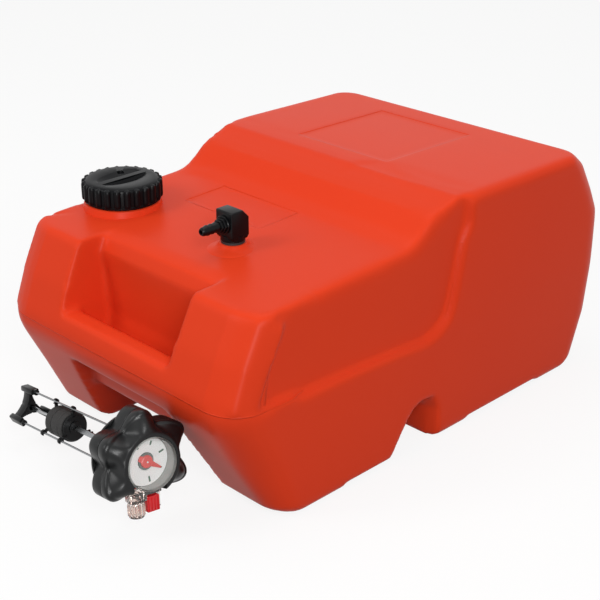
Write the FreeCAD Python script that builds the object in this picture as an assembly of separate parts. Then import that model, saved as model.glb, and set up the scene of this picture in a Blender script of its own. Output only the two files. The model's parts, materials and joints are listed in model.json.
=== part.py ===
# Outboard fuel tank: blow-moulded tank, filler cap, outlet elbow and a loose float-gauge cap.
# Millimetres, +Z up. Origin on the floor at the tank's plan centre, the grab bar faces -Y.
import FreeCAD
import Part
import math
import os

V = FreeCAD.Vector
os.makedirs("parts", exist_ok=True)

# ---------------------------------------------------------------- driving dimensions
WALL = 4.2
HALF_WIDTH = 169.1
FRONT_Y = -268.2
REAR_Y = 268.4
TANK_TOP = 242.7
FOOT_LIFT = 3.2
DECK_FRONT_Z = TANK_TOP - 42.0
DECK_REAR_Z = TANK_TOP - 34.7
TOP_SLOPE = 3.6
TOP_ROUND = 9.0
FLOOR_ROUND = 3.0
HEEL_ROUND = 5.0
PANEL_X = HALF_WIDTH - 7.6

NECK_INSET = 45.6
NECK_X = NECK_INSET - HALF_WIDTH
NECK_Y = -148.9
NECK_BORE = 26.0
NECK_R = 30.0
NECK_FOOT = TANK_TOP - 38.7
NECK_ROOT = NECK_FOOT - 6.0
NECK_H = 21.6
NECK_TOP = NECK_FOOT + NECK_H
NECK_RING_R = 38.0
NECK_RING_H = 6.2
NECK_RING_TOP = NECK_FOOT + NECK_RING_H

CAP_R = 39.5
CAP_LIFT = 0.8
CAP_BOTTOM = NECK_RING_TOP + CAP_LIFT
CAP_RIBS = 24
CAP_PLATE = 3.6
GASKET_H = 2.3
GASKET_GAP = 0.4
CAP_TOP = NECK_TOP + GASKET_H + 2 * GASKET_GAP + CAP_PLATE
GRIP_W = 6.6
GRIP_DEEP = 1.6
CAP_BORE = 30.8

PORT_X = 35.6
PORT_Y = -146.3
PORT_BOSS_R = 15.0
PORT_BOSS_H = 6.2
PORT_BOSS_TOP = NECK_FOOT + PORT_BOSS_H
PORT_SPIGOT_R = 8.5
SPIGOT_FOOT = NECK_FOOT - 12.0
SEAL_H = 2.2
ELBOW_FOOT = PORT_BOSS_TOP + SEAL_H
ELBOW_H = 27.1
ELBOW_TOP = ELBOW_FOOT + ELBOW_H
ELBOW_W = 22.0
ELBOW_D = 21.0
BARB_RISE = 15.6
BARB_Z = ELBOW_FOOT + BARB_RISE
BARB_LEN = 27.2
PICKUP_R = 4.5
PICKUP_BORE = 3.0
PICKUP_FOOT = 14.0

# gauge: local frame, origin at the middle of the window, local +Z out of the window
GAUGE_AT = (104.8, -302.5, 71.2)
GAUGE_YAW = -4.6
GAUGE_PITCH = 9.5
GAUGE_ROLL = -5.0
GAUGE_LEN = 225.0
KNOB_TIP_R = 46.0
KNOB_ROOT_R = 34.5
KNOB_BACK = -37.0
KNOB_PART_Z = -27.0
KNOB_PART_GAP = 0.6
LOBE_R = 8.5
RIM_R = 37.5
RIM_H = 3.0
WINDOW_R = 23.8
WINDOW_T = 2.0
CAPSULE_WALL = 1.6
CAPSULE_DEPTH = 17.5
CARRIER_FOOT = 5.0
CORE_FLOOR = 3.0
DIAL_R = WINDOW_R - 1.9
DIAL_Z = -12.5
DIAL_T = 1.0
DIAL_HOLE = 8.0
PLUG_R = 26.0
PLUG_TOP = -28.5
PLUG_BOTTOM = KNOB_BACK - 5.0
SEAT_Z = -CAPSULE_DEPTH - CARRIER_FOOT
ROD_R = 0.95
ROD_CIRCLE = 17.9
BRACKET_T = 12.0
BRACKET_PAD = 24.0
FLOAT_R = 14.2
FLOAT_H = 29.0
FLOAT_MID = -148.0
CLIP_T = 2.4
STRIP_W = 4.6
STRIP_T = 0.9
STRIP_TWIST = 1.5
VENT_X = -11.5
VENT_TOP = -34.5
VENT_END = -48.0
VENT_Z = -14.5
VENT_R = 7.8
INSERT_W = 12.6
INSERT_H = 13.6
LEG_W = 2.2


# ---------------------------------------------------------------- helpers
def box(x0, x1, y0, y1, z0, z1):
    return Part.makeBox(x1 - x0, y1 - y0, z1 - z0, V(x0, y0, z0))


def cyl(r, z0, z1, x=0.0, y=0.0):
    return Part.makeCylinder(r, z1 - z0, V(x, y, z0))


def cone(r0, r1, z0, z1, x=0.0, y=0.0):
    return Part.makeCone(r0, r1, z1 - z0, V(x, y, z0))


def ring(ro, ri, z0, z1, x=0.0, y=0.0):
    return cyl(ro, z0, z1, x, y).cut(cyl(ri, z0 - 1, z1 + 1, x, y))


def side_prism(pts, x0, x1):
    # polygon in (y, z) pulled along X
    wire = Part.makePolygon([V(x0, p[0], p[1]) for p in pts + pts[:1]])
    return Part.Face(wire).extrude(V(x1 - x0, 0, 0))


def front_prism(pts, y0, y1):
    # polygon in (x, z) pulled along Y
    wire = Part.makePolygon([V(p[0], y0, p[1]) for p in pts + pts[:1]])
    return Part.Face(wire).extrude(V(0, y1 - y0, 0))


def plan_prism(pts, z0, z1):
    wire = Part.makePolygon([V(p[0], p[1], z0) for p in pts + pts[:1]])
    return Part.Face(wire).extrude(V(0, 0, z1 - z0))


def rounded_rect(x0, x1, y0, y1, r, z):
    k = r * (1 - math.sqrt(0.5))
    a = [V(x0 + r, y0, z), V(x1 - r, y0, z), V(x1, y0 + r, z), V(x1, y1 - r, z)]
    b = [V(x1 - r, y1, z), V(x0 + r, y1, z), V(x0, y1 - r, z), V(x0, y0 + r, z)]
    mids = [V(x1 - k, y0 + k, z), V(x1 - k, y1 - k, z), V(x0 + k, y1 - k, z), V(x0 + k, y0 + k, z)]
    p = a + b
    edges = []
    for i in range(4):
        edges.append(Part.LineSegment(p[2 * i], p[2 * i + 1]).toShape())
        edges.append(Part.Arc(p[2 * i + 1], mids[i], p[(2 * i + 2) % 8]).toShape())
    return Part.Wire(edges)


def pad(x0, x1, y0, y1, r, z0, z1):
    return Part.Face(rounded_rect(x0, x1, y0, y1, r, z0)).extrude(V(0, 0, z1 - z0))


def soften(shape, radius, chosen):
    # round every edge that the test picks; fall back to a smaller radius
    for r in (radius, radius * 0.7, radius * 0.45):
        edges = [e for e in shape.Edges if chosen(e)]
        if not edges:
            return shape
        try:
            out = shape.makeFillet(r, edges)
        except Exception:
            continue
        if out.isValid() and out.Volume > 0:
            return out
    print("soften failed", radius)
    return shape


def mid(e):
    return e.valueAt((e.FirstParameter + e.LastParameter) / 2.0)


def turned(shape, angle):
    out = shape.copy()
    out.rotate(V(0, 0, 0), V(0, 0, 1), angle)
    return out


def moved(shape, x, y, z):
    out = shape.copy()
    out.translate(V(x, y, z))
    return out


def save(shape, name):
    solids = shape.Solids
    out = solids[0] if len(solids) == 1 else Part.makeCompound(solids)
    out.exportStep("parts/" + name + ".step")
    box_ = out.BoundBox
    print(name, len(solids), out.isValid(), round(out.Volume / 1000.0, 2),
          [round(v, 1) for v in (box_.XMin, box_.XMax, box_.YMin, box_.YMax, box_.ZMin, box_.ZMax)])


# ---------------------------------------------------------------- tank
# height, then how far the front, the rear and the sides stand in from the widest, corner radius
SECTIONS = [
    (0.0, 66.2, 46.4, 2.2, 21.0),
    (7.6, 52.5, 33.4, 0.6, 26.0),
    (57.0, 26.2, 7.9, 0.4, 36.0),
    (98.0, 5.2, 1.4, 0.2, 38.0),
    (105.0, 2.4, 0.7, 0.1, 38.0),
    (111.0, 0.7, 0.3, 0.0, 38.0),
    (117.0, 0.0, 0.1, 0.0, 38.0),
    (123.0, 0.5, 0.0, 0.0, 38.0),
    (129.5, 2.4, 0.0, 0.0, 38.0),
    (TANK_TOP - 106.2, 5.2, 0.0, 0.0, 38.0),
    (TANK_TOP - 83.1, 13.8, 0.0, 0.1, 38.0),
    (TANK_TOP - 72.7, 18.7, 0.8, 0.2, 38.0),
    (TANK_TOP - 47.9, 31.0, 14.0, 0.4, 37.0),
    (TANK_TOP - 17.7, 48.0, 33.6, 0.6, 35.0),
    (TANK_TOP, 56.8, 61.0, 0.0, 25.0),
]
DECK_STEP = [(-50.0, DECK_REAR_Z), (-32.0, TANK_TOP - 27.8), (-12.0, TANK_TOP - 11.8),
             (3.0, TANK_TOP - 4.9), (14.0, TANK_TOP - 2.9), (30.0, TANK_TOP - 1.0),
             (44.0, TANK_TOP - 0.2), (58.0, TANK_TOP)]


def hull(inset):
    wires = []
    last = -1.0
    for z, front, rear, side, r in SECTIONS:
        yf = FRONT_Y + front
        yr = REAR_Y - rear
        hw = HALF_WIDTH - side
        zz = min(max(z, inset), TANK_TOP - inset)
        if zz - last < 0.5:
            continue
        last = zz
        wires.append(rounded_rect(-hw + inset, hw - inset, yf + inset, yr - inset, r - inset * 0.5, zz))
    return Part.makeLoft(wires, True, True)


def above_deck(drop):
    pts = [V(-260, y, z - drop) for y, z in DECK_STEP]
    step = Part.BSplineCurve()
    step.interpolate(pts)
    first = V(-260, -320, DECK_FRONT_Z - 2.6 - drop)
    last = V(-260, 320, TANK_TOP - TOP_SLOPE - drop)
    hi = [V(-260, 320, 300), V(-260, -320, 300)]
    edges = [Part.LineSegment(first, pts[0]).toShape(), step.toShape(),
             Part.LineSegment(pts[-1], last).toShape(), Part.LineSegment(last, hi[0]).toShape(),
             Part.LineSegment(hi[0], hi[1]).toShape(), Part.LineSegment(hi[1], first).toShape()]
    return Part.Face(Part.Wire(edges)).extrude(V(520, 0, 0))


def hand_pocket(grow):
    # finger well behind the grab bar, open to the front slope and the deck
    g = grow
    pts = [(-300.0, 137.5 - g), (-256.0, 137.5 - g), (-243.0, 137.0 - g), (-240.0 - g, 128.0 - g),
           (-238.0 - g, 108.0 - g), (-226.0, 100.5 - g), (-212.0 + g, 106.0 - g),
           (-207.5 + g, 125.0), (-209.0 + g, 160.0), (-211.0 + g, 186.0), (-204.0 + g, 199.0),
           (-185.0 + g, 204.5), (-176.0 + g, 215.0), (-300.0, 260.0)]
    shape = side_prism(pts, -200, 200)
    w = 78.0 + g
    face = [(-w + 10, 90.0 - g), (w - 10, 90.0 - g), (w - 3, 104.0), (w + 2, 200.0), (w + 12, 290.0),
            (-w - 12, 290.0), (-w - 2, 200.0), (-w + 3, 104.0)]
    return shape.common(front_prism(face, -320, -100))


def under_bar(grow):
    # finger room under the grab bar that opens into the gap between the two front feet
    g = grow
    pts = [(-310.0, 93.0 + g), (-256.0, 93.0 + g), (-240.0 + g, 84.0 + g), (-232.0 + g, 58.0 + g),
           (-208.0 + g, 42.0 + g), (-165.0 + g, 4.0 + g), (-160.0 + g, -12.0), (-310.0, -12.0)]
    shape = side_prism(pts, -200, 200)
    w = 66.0 + g
    face = [(-w, 100.0 + g), (w, 100.0 + g), (w + 15, 48.0), (w + 28, -20.0), (-w - 28, -20.0),
            (-w - 15, 48.0)]
    return shape.common(front_prism(face, -320, -100))


def tunnel_wire(x, g):
    pts = [(-71.0 - g, -12.0), (-66.0 - g, 2.0), (-45.0 - g, 33.0), (-38.0, 41.0 + g),
           (-26.0, 44.6 + g), (-15.0 + g, 42.5 + g), (-8.6 + g, 33.0), (-7.0 + g, -12.0)]
    return Part.makePolygon([V(x, p[0], p[1]) for p in pts + pts[:1]])


def strap_tunnel(grow):
    wires = [tunnel_wire(-176.0, grow + 10.0), tunnel_wire(-165.0, grow + 4.5),
             tunnel_wire(-156.0, grow + 1.0), tunnel_wire(-146.0, grow), tunnel_wire(146.0, grow),
             tunnel_wire(156.0, grow + 1.0), tunnel_wire(165.0, grow + 4.5),
             tunnel_wire(176.0, grow + 10.0)]
    return Part.makeLoft(wires, True, True)


def panel_wire(x, g):
    pts = [(-221.0 - g, 119.5 - g), (-24.0 + g, 119.5 - g), (-4.0 + g, 131.0 - g),
           (17.0 + g, TANK_TOP - 50.7), (31.0 + g, TANK_TOP - 28.7), (31.0 + g, TANK_TOP + 60.0),
           (-208.0 - g, TANK_TOP + 60.0), (-210.0 - g, TANK_TOP - 37.7)]
    return Part.makePolygon([V(x, p[0], p[1]) for p in pts + pts[:1]])


def side_panel(side, grow):
    x0 = PANEL_X - grow
    wires = [panel_wire(side * x0, grow - 1.0), panel_wire(side * (x0 + 3.0), grow + 2.0),
             panel_wire(side * (x0 + 9.0), grow + 5.0)]
    return Part.makeLoft(wires, True, True)


def foot_gaps():
    a = box(-220, 220, -132.0, -60.0, -10, FOOT_LIFT)
    b = box(-220, 220, 44.0, 161.0, -10, FOOT_LIFT)
    return a.fuse(b)


def top_edge(e):
    b = e.BoundBox
    m = mid(e)
    if b.ZMin < DECK_FRONT_Z + 0.3:
        return False
    if b.XLength > 250 and -70 < m.y < 60:
        return False
    if b.ZLength > 12 and b.XLength < 6 and m.y < -60:
        return False
    if b.ZLength > 12 and b.YLength > 8 and m.y > 170:
        return False
    return not (abs(m.z - (TANK_TOP - 17.7)) < 0.5 and b.ZLength < 0.5)


def level_edge(z):
    return lambda e: abs(e.BoundBox.ZMin - z) < 0.2 and abs(e.BoundBox.ZMax - z) < 0.2


def tank_outer():
    body = hull(0.0).cut(above_deck(0.0))
    body = soften(body, TOP_ROUND, top_edge)
    body = soften(body, FLOOR_ROUND, level_edge(0.0))
    body = soften(body, HEEL_ROUND, level_edge(7.6))
    for s in (1, -1):
        body = body.cut(side_panel(s, 0.0))
    body = body.cut(hand_pocket(0.0))
    body = body.cut(under_bar(0.0))
    body = body.cut(strap_tunnel(0.0))
    body = body.cut(foot_gaps())
    return body


def tank_space():
    inner = hull(WALL + 0.6).cut(above_deck(WALL + 0.4))
    for s in (1, -1):
        inner = inner.cut(side_panel(s, WALL))
    inner = inner.cut(hand_pocket(WALL))
    inner = inner.cut(under_bar(WALL))
    inner = inner.cut(strap_tunnel(WALL))
    inner = inner.cut(box(-220, 220, -132 - WALL, -60 + WALL, -10, FOOT_LIFT + WALL))
    inner = inner.cut(box(-220, 220, 44 - WALL, 161 + WALL, -10, FOOT_LIFT + WALL))
    return inner


def embossed():
    deck = pad(-85.0, 22.0, -101.0, -50.0, 4.0, DECK_FRONT_Z - 50, TANK_TOP - 10)
    deck = deck.common(above_deck(0.9))
    top = pad(-76.5, 47.5, 48.5, 178.0, 5.0, TANK_TOP - TOP_SLOPE, TANK_TOP + 20)
    top = top.common(above_deck(0.9))
    return deck, top


def tank_body():
    body = tank_outer()
    deck, top = embossed()
    body = body.cut(deck).cut(top)
    boss = cone(PORT_BOSS_R + 2.0, PORT_BOSS_R, NECK_ROOT, PORT_BOSS_TOP, PORT_X, PORT_Y)
    neck = cyl(NECK_R, NECK_ROOT, NECK_TOP, NECK_X, NECK_Y)
    flange = cone(NECK_RING_R + 1.5, NECK_RING_R, NECK_ROOT, NECK_RING_TOP, NECK_X, NECK_Y)
    body = body.fuse([boss, neck, flange])
    body = body.cut(tank_space())
    body = body.cut(cyl(NECK_BORE, NECK_ROOT - 18, NECK_TOP + 30, NECK_X, NECK_Y))
    body = body.cut(cyl(PORT_SPIGOT_R, NECK_ROOT - 18, NECK_TOP + 30, PORT_X, PORT_Y))
    return body.removeSplitter()


# ---------------------------------------------------------------- filler cap
def cap_grip():
    disc = cyl(CAP_R, CAP_BOTTOM, CAP_TOP)
    groove = Part.makeCylinder(2.3, 60, V(CAP_R + 1.0, 0, CAP_BOTTOM - 8))
    cuts = [turned(groove, 360.0 * i / CAP_RIBS) for i in range(CAP_RIBS)]
    ribs = disc.cut(cuts)
    trim = cone(CAP_R + 0.01, CAP_R - 3.5, CAP_TOP - 4.0, CAP_TOP + 0.01)
    low = cone(CAP_R - 1.4, CAP_R + 0.01, CAP_BOTTOM - 0.01, CAP_BOTTOM + 2.0)
    mid_part = cyl(CAP_R + 1, CAP_BOTTOM + 2.0, CAP_TOP - 4.0)
    return ribs.common(trim.fuse([mid_part, low]))


def cap_scoop(side):
    # hollow beside the grip bar, open over the inner part of the top only
    half = GRIP_W / 2.0
    r = CAP_R - 7.0
    disc = cyl(r, CAP_TOP - GRIP_DEEP, CAP_TOP + 5)
    return disc.common(box(half, r + 1, -27.0, 27.0, CAP_TOP - 10, CAP_TOP + 10)
                       if side > 0 else box(-r - 1, -half, -27.0, 27.0, CAP_TOP - 10, CAP_TOP + 10))


def filler_cap():
    cap = cap_grip()
    cap = cap.cut(cyl(CAP_BORE, CAP_BOTTOM - 5, CAP_TOP - CAP_PLATE))
    cap = cap.cut(cap_scoop(1)).cut(cap_scoop(-1))
    return moved(cap, NECK_X, NECK_Y, 0)


def cap_gasket():
    foot = NECK_TOP + GASKET_GAP
    return ring(NECK_R - 0.3, NECK_BORE - 0.2, foot, foot + GASKET_H, NECK_X, NECK_Y)


# ---------------------------------------------------------------- outlet
def outlet_elbow():
    x0 = PORT_X - ELBOW_W / 2.0
    x1 = PORT_X + ELBOW_W / 2.0
    y0 = PORT_Y - ELBOW_D / 2.0
    y1 = PORT_Y + ELBOW_D / 2.0
    base = ELBOW_FOOT
    foot = cyl(11.5, base, base + 6.0, PORT_X, PORT_Y)
    block = pad(x0, x1, y0, y1, 3.0, base + 4.0, ELBOW_TOP)
    back = side_prism([(y1 - 7.0, ELBOW_TOP + 1), (y1 + 1, ELBOW_TOP - 7.0), (y1 + 1, ELBOW_TOP + 1)],
                      x0 - 5, x1 + 5)
    spigot = cyl(PORT_SPIGOT_R, SPIGOT_FOOT, base + 1.0, PORT_X, PORT_Y)
    body = block.cut(back).fuse([foot, spigot])
    way_down = cyl(PICKUP_R, SPIGOT_FOOT - 5, BARB_Z, PORT_X, PORT_Y)
    way_out = Part.makeCylinder(5.0, 30, V(PORT_X, PORT_Y, BARB_Z), V(0, -1, 0))
    body = body.cut(way_down.fuse(way_out))
    return body.removeSplitter()


def elbow_seal():
    return ring(11.0, PORT_SPIGOT_R, PORT_BOSS_TOP, PORT_BOSS_TOP + SEAL_H, PORT_X, PORT_Y)


def hose_barb():
    face = PORT_Y - ELBOW_D / 2.0
    length = BARB_LEN
    hexagon = [(7.6 * math.cos(math.radians(60 * i)), 7.6 * math.sin(math.radians(60 * i)))
               for i in range(6)]
    shape = plan_prism(hexagon, 0, 5.0)
    shape = shape.fuse(cyl(5.0, -8.0, 1.0))
    shape = shape.fuse(cyl(3.3, 4.0, length))
    for k in range(3):
        z = 8.5 + 5.0 * k
        shape = shape.fuse(cone(4.3, 3.3, z, z + 4.6))
    shape = shape.cut(cyl(2.2, -20, length + 1))
    shape.rotate(V(0, 0, 0), V(1, 0, 0), 90)
    return moved(shape, PORT_X, face, BARB_Z)


def pickup_tube():
    return ring(PICKUP_R, PICKUP_BORE, PICKUP_FOOT + 6.0, BARB_Z - 8.0, PORT_X, PORT_Y)


def pickup_strainer():
    shape = cyl(6.5, PICKUP_FOOT, PICKUP_FOOT + 16.0)
    shape = shape.cut(cyl(PICKUP_R, PICKUP_FOOT + 6.0, 100))
    shape = shape.cut(cyl(4.0, PICKUP_FOOT + 1.5, 100))
    for i in range(4):
        slot = box(2.0, 10.0, -1.2, 1.2, PICKUP_FOOT + 2.0, PICKUP_FOOT + 5.5)
        shape = shape.cut(turned(slot, 90 * i))
    return moved(shape, PORT_X, PORT_Y, 0)


# ---------------------------------------------------------------- gauge
def gauge_place(shape):
    # local +Z along the gauge axis, local +X level, local +Y upward
    yaw = math.radians(GAUGE_YAW)
    pitch = math.radians(GAUGE_PITCH)
    w = V(math.cos(yaw) * math.cos(pitch), math.sin(yaw) * math.cos(pitch), math.sin(pitch))
    x = V(-math.sin(yaw), math.cos(yaw), 0)
    y = w.cross(x)
    m = FreeCAD.Matrix(x.x, y.x, w.x, GAUGE_AT[0], x.y, y.y, w.y, GAUGE_AT[1],
                       x.z, y.z, w.z, GAUGE_AT[2], 0, 0, 0, 1)
    out = turned(shape, GAUGE_ROLL)
    out.transformShape(m, True)
    return out


def lobed_outline(tip, root, z0, z1):
    # five grips, one place left free for the vent
    core = cyl(root, z0, z1)
    lobes = []
    for a in (-30, 30, 90, 150, 210):
        r = LOBE_R
        c = tip - r
        arm = plan_prism([(0, -root * 0.62), (c, -r), (c, r), (0, root * 0.62)], z0, z1)
        lobe = arm.fuse(cyl(r, z0, z1, c, 0))
        lobes.append(turned(lobe, a))
    return core.fuse(lobes).removeSplitter()


def knob_front():
    z0 = KNOB_PART_Z + KNOB_PART_GAP / 2.0
    body = lobed_outline(KNOB_TIP_R, KNOB_ROOT_R, z0, 1.0)
    dome = [(0, z0 - 1), (KNOB_TIP_R + 1, z0 - 1), (KNOB_TIP_R + 1, -12.5), (KNOB_TIP_R - 3.0, -8.5),
            (WINDOW_R + 8.0, -3.5), (WINDOW_R + 4.5, -1.2), (0, -1.2)]
    wire = Part.makePolygon([V(p[0], 0, p[1]) for p in dome + dome[:1]])
    body = body.common(Part.Face(wire).revolve(V(0, 0, 0), V(0, 0, 1), 360))
    scoops = []
    for a in (0, 60, 120, 180, 240, 300):
        ball = Part.makeSphere(15.0, V(KNOB_TIP_R - 2.5, 0, -0.5))
        scoops.append(turned(ball, a))
    body = body.cut(scoops)
    body = body.cut(cyl(WINDOW_R + 0.4, -CAPSULE_DEPTH, 5))
    body = body.cut(cyl(PLUG_R + 5.0, -60, SEAT_Z)).cut(cyl(12.3, -30, 0))
    slot = box(VENT_X - VENT_R - 0.6, VENT_X + VENT_R + INSERT_W + LEG_W + 1.2, -70, -10, VENT_Z - 7.0, 5.0)
    return body.cut(slot)


def knob_rear():
    z1 = KNOB_PART_Z - KNOB_PART_GAP / 2.0
    body = lobed_outline(KNOB_TIP_R, KNOB_ROOT_R, KNOB_BACK, z1)
    body = body.fuse(cyl(RIM_R, KNOB_BACK - RIM_H, KNOB_BACK + 1))
    return body.cut(cyl(PLUG_R + 5.0, -60, 5))


def knob_core():
    # inner ring that joins both halves of the grip
    outer = cyl(PLUG_R + 5.0, KNOB_BACK, SEAT_Z)
    return outer.cut(cyl(PLUG_R + 0.6, -60, SEAT_Z - CORE_FLOOR)).cut(cyl(8.0, -60, 5))


def lens_capsule():
    body = cyl(WINDOW_R, -CAPSULE_DEPTH, 0.0)
    body = body.cut(cyl(WINDOW_R - CAPSULE_WALL, -CAPSULE_DEPTH - 1, -WINDOW_T))
    return soften(body, 1.0, lambda e: e.BoundBox.ZMin > -0.1 and e.BoundBox.XLength > 2 * WINDOW_R - 1)


def dial_face():
    return ring(DIAL_R, DIAL_HOLE, DIAL_Z - DIAL_T, DIAL_Z)


def dial_carrier():
    body = cyl(DIAL_R, -CAPSULE_DEPTH, DIAL_Z - DIAL_T)
    body = body.cut(cyl(DIAL_HOLE + 0.5, -CAPSULE_DEPTH + 1.0, 0))
    foot = cyl(12.0, SEAT_Z, -CAPSULE_DEPTH)
    pin = cyl(0.8, -CAPSULE_DEPTH + 0.5, DIAL_Z + 3.2)
    return body.fuse([foot, pin])


def pointer_magnet():
    return ring(DIAL_HOLE - 0.6, 0.85, DIAL_Z - 3.6, DIAL_Z + 0.6)


def pointer():
    hub = cyl(4.6, DIAL_Z + 0.6, DIAL_Z + 2.8)
    arm = plan_prism([(-3.4, -2.4), (0, -2.6), (17.0, -0.7), (17.0, 0.7), (0, 2.6), (-3.4, 2.4)],
                     DIAL_Z + 0.6, DIAL_Z + 1.9)
    tail = cyl(3.0, DIAL_Z + 0.6, DIAL_Z + 1.9, -6.5, 0)
    shape = hub.fuse([arm, tail]).cut(cyl(0.85, -30, 5))
    return turned(shape, -32.0)


def gauge_plug():
    body = cyl(PLUG_R, PLUG_BOTTOM, PLUG_TOP)
    body = body.cut(cyl(12.0, PLUG_BOTTOM - 1, PLUG_BOTTOM + 7.0))
    for i in range(3):
        hole = cyl(ROD_R, PLUG_BOTTOM - 1, PLUG_BOTTOM + 9.0, ROD_CIRCLE, 0)
        body = body.cut(turned(hole, 90 + 120 * i))
    stem = cyl(10.0, PLUG_TOP, SEAT_Z - CORE_FLOOR)
    return body.fuse(stem)


def gauge_gasket():
    return ring(PLUG_R + 4.6, PLUG_R, PLUG_BOTTOM + 0.5, KNOB_BACK - 1.0)


def rods():
    out = []
    for i in range(3):
        rod = cyl(ROD_R, -GAUGE_LEN + 1.5, PLUG_BOTTOM + 9.0, ROD_CIRCLE, 0)
        out.append(turned(rod, 90 + 120 * i))
    return Part.makeCompound(out)


def end_bracket():
    z0 = -GAUGE_LEN
    tip = ROD_CIRCLE + 2.6
    body = plan_prism([(tip * 1.28 * math.cos(math.radians(90 + 120 * i)),
                        tip * 1.28 * math.sin(math.radians(90 + 120 * i))) for i in range(3)],
                      z0, z0 + BRACKET_T)
    for i in range(3):
        bite = turned(cyl(30.0, z0 - 1, z0 + 40, 36.0, 0), 30 + 120 * i)
        body = body.cut(bite)
    body = body.common(cyl(tip, z0 - 1, z0 + 40))
    for i in range(3):
        boss = box(ROD_CIRCLE - 3.2, tip - 0.1, -4.2, 4.2, z0, z0 + BRACKET_PAD)
        body = body.fuse(turned(boss, 90 + 120 * i))
    body = body.cut(cyl(2.9, z0 + 3.0, z0 + 40))
    for i in range(3):
        hole = cyl(ROD_R, z0 + 1.5, z0 + 40, ROD_CIRCLE, 0)
        body = body.cut(turned(hole, 90 + 120 * i))
    return body.removeSplitter()


def float_body():
    z0 = FLOAT_MID - FLOAT_H / 2.0
    z1 = FLOAT_MID + FLOAT_H / 2.0
    body = ring(FLOAT_R, 3.4, z0, z1)
    body = body.cut(ring(FLOAT_R + 1, FLOAT_R - 0.8, FLOAT_MID - 5.2, FLOAT_MID - 3.4))
    return body


def clip(z0):
    z1 = z0 + CLIP_T
    parts = []
    for i in range(3):
        arm = box(FLOAT_R - 4.0, ROD_CIRCLE - 1.0, -1.6, 1.6, z0, z1)
        eye = ring(ROD_R + 1.45, ROD_R + 0.08, z0, z1, ROD_CIRCLE, 0)
        mouth = box(ROD_CIRCLE + 0.2, ROD_CIRCLE + 6, 0.0, 0.75, z0 - 1, z1 + 1)
        hole = cyl(ROD_R + 0.08, z0 - 1, z1 + 1, ROD_CIRCLE, 0)
        one = arm.fuse(eye).cut(hole).cut(mouth)
        parts.append(turned(one, 90 + 120 * i))
    hub = ring(FLOAT_R - 2.0, 3.4, z0, z1)
    return hub.fuse(parts)


def float_clips():
    low = clip(FLOAT_MID - FLOAT_H / 2.0 - CLIP_T)
    high = clip(FLOAT_MID + FLOAT_H / 2.0)
    return Part.makeCompound([low, high])


def strip_angle(z):
    # the strip lies along local X at the middle of the float
    return (z - FLOAT_MID) * STRIP_TWIST


def float_guide():
    z0 = FLOAT_MID + FLOAT_H / 2.0 + CLIP_T
    plate = cyl(6.0, z0, z0 + 1.0)
    half = STRIP_W / 2.0 + 0.35
    thick = STRIP_T / 2.0 + 0.35
    slot = box(-half, half, -thick, thick, z0 - 1, z0 + 3)
    return plate.cut(turned(slot, strip_angle(z0 + 0.5)))


def twisted_strip():
    z0 = -GAUGE_LEN + 3.6
    z1 = PLUG_BOTTOM - 1.0
    count = 19
    wires = []
    for i in range(count):
        z = z0 + (z1 - z0) * i / (count - 1)
        a = math.radians(strip_angle(z))
        pts = []
        for sx, sy in ((-1, -1), (1, -1), (1, 1), (-1, 1), (-1, -1)):
            x = sx * STRIP_W / 2.0
            y = sy * STRIP_T / 2.0
            pts.append(V(x * math.cos(a) - y * math.sin(a), x * math.sin(a) + y * math.cos(a), z))
        wires.append(Part.makePolygon(pts))
    return Part.makeLoft(wires, True, False)


def drive_magnet():
    return cyl(8.0, PLUG_BOTTOM - 1.0, PLUG_BOTTOM + 5.0)


def leg_x():
    # where the clear leg starts, past the screw and the insert
    return VENT_X + VENT_R + INSERT_W + 0.4


def vent_housing():
    # clear saddle under the window: a plate, a leg and the seat of the vent screw
    z0 = VENT_Z - 6.0
    z1 = VENT_Z + 6.0
    x1 = leg_x() + LEG_W
    plate = box(VENT_X - VENT_R + 0.6, x1, VENT_TOP + 0.5, -18.0, z0, z1).cut(cyl(WINDOW_R, -60, 10))
    leg = box(leg_x(), x1, VENT_END + 4.5, VENT_TOP + 3.0, z0 + 3.0, z1 - 3.0)
    return plate.fuse(leg).cut(vent_bore(4.1)).cut(vent_insert())


def vent_bore(r):
    return Part.makeCylinder(r, 40, V(VENT_X, -25, VENT_Z), V(0, -1, 0))


def vent_screw():
    length = VENT_TOP - VENT_END
    body = cyl(VENT_R, 0, length)
    groove = Part.makeCylinder(1.25, 60, V(VENT_R + 0.5, 0, -5))
    body = body.cut([turned(groove, 30.0 * i) for i in range(12)])
    body = body.fuse(cyl(4.0, -5.0, 1.0))
    body = body.cut(cyl(2.6, -10.0, length - 2.0))
    body.rotate(V(0, 0, 0), V(1, 0, 0), 90)
    return moved(body, VENT_X, VENT_TOP, VENT_Z)


def vent_insert():
    x0 = leg_x() - INSERT_W
    y0 = VENT_END + 5.0
    return box(x0, leg_x(), y0, y0 + INSERT_H, VENT_Z - 4.2, VENT_Z + 6.0)


# ---------------------------------------------------------------- export
save(tank_body(), "tank_body")
save(filler_cap(), "filler_cap")
save(cap_gasket(), "cap_gasket")
save(outlet_elbow(), "outlet_elbow")
save(elbow_seal(), "elbow_seal")
save(hose_barb(), "hose_barb")
save(pickup_tube(), "pickup_tube")
save(pickup_strainer(), "pickup_strainer")
save(gauge_place(knob_front()), "gauge_knob_front")
save(gauge_place(knob_rear()), "gauge_knob_rear")
save(gauge_place(knob_core()), "gauge_knob_core")
save(gauge_place(lens_capsule()), "lens_capsule")
save(gauge_place(dial_face()), "dial_face")
save(gauge_place(dial_carrier()), "dial_carrier")
save(gauge_place(pointer_magnet()), "pointer_magnet")
save(gauge_place(pointer()), "pointer")
save(gauge_place(gauge_plug()), "gauge_plug")
save(gauge_place(gauge_gasket()), "gauge_gasket")
save(gauge_place(rods()), "guide_rods")
save(gauge_place(end_bracket()), "end_bracket")
save(gauge_place(float_body()), "float_body")
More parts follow.
